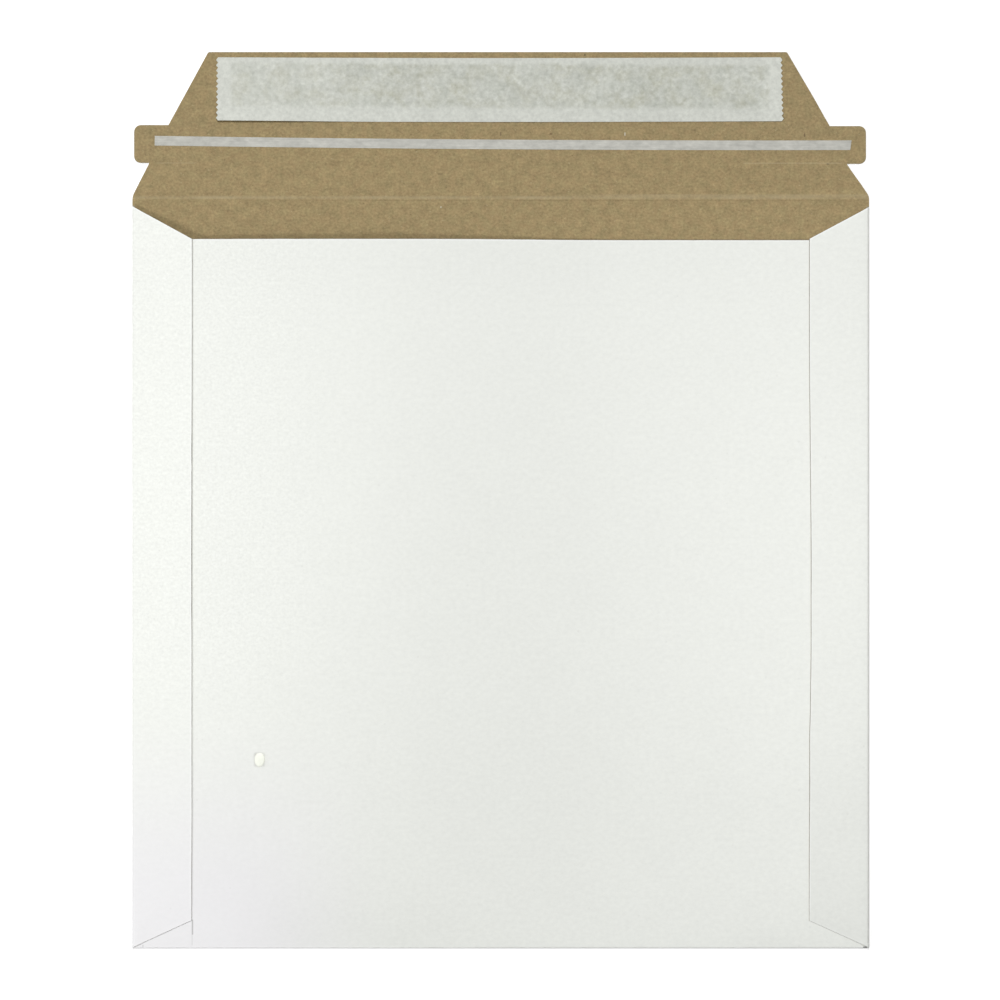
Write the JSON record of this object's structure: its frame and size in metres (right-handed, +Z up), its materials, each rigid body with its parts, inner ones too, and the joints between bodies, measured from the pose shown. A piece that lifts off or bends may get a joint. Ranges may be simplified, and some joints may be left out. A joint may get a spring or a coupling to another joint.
{
  "type": "rigid cardboard mailer",
  "caption": "Flat rigid mailing envelope of folded white-faced kraft board, with an open pocket, a self-seal closure flap under a peel-off liner, and a tear strip with pull tabs.",
  "frame": {"origin": "under the middle of the open mailer, on the surface that its back lies on", "axes": "+Z up out of the front panel, +Y from the bottom fold to the closure flap's free edge, +X to the right as the front is read"},
  "size_m": [0.3174, 0.3872, 0.0062],
  "materials": {
    "white_board": "matt white coat",
    "kraft_board": "uncoated kraft",
    "liner_paper": "smooth silicone-coated paper",
    "clear_glue": "tacky",
    "filament_tape": "satin",
    "dried_glue": "matt"
  },
  "bodies": {
    "pocket": {"pocket": "white_board", "seam_glue_left": "clear_glue", "seam_glue_right": "clear_glue", "glue_spot": "dried_glue"},
    "flap": {"closure_flap": "kraft_board", "seal_adhesive": "clear_glue", "release_liner": "liner_paper", "tear_tape": "filament_tape"}
  },
  "joints": [
    {"name": "flap_crease", "type": "hinge", "parent": "pocket", "child": "flap", "pos_m": [0, 0.13028, 0.0036], "axis": [1, 0, 0], "range_deg": [0, 178]}
  ]
}
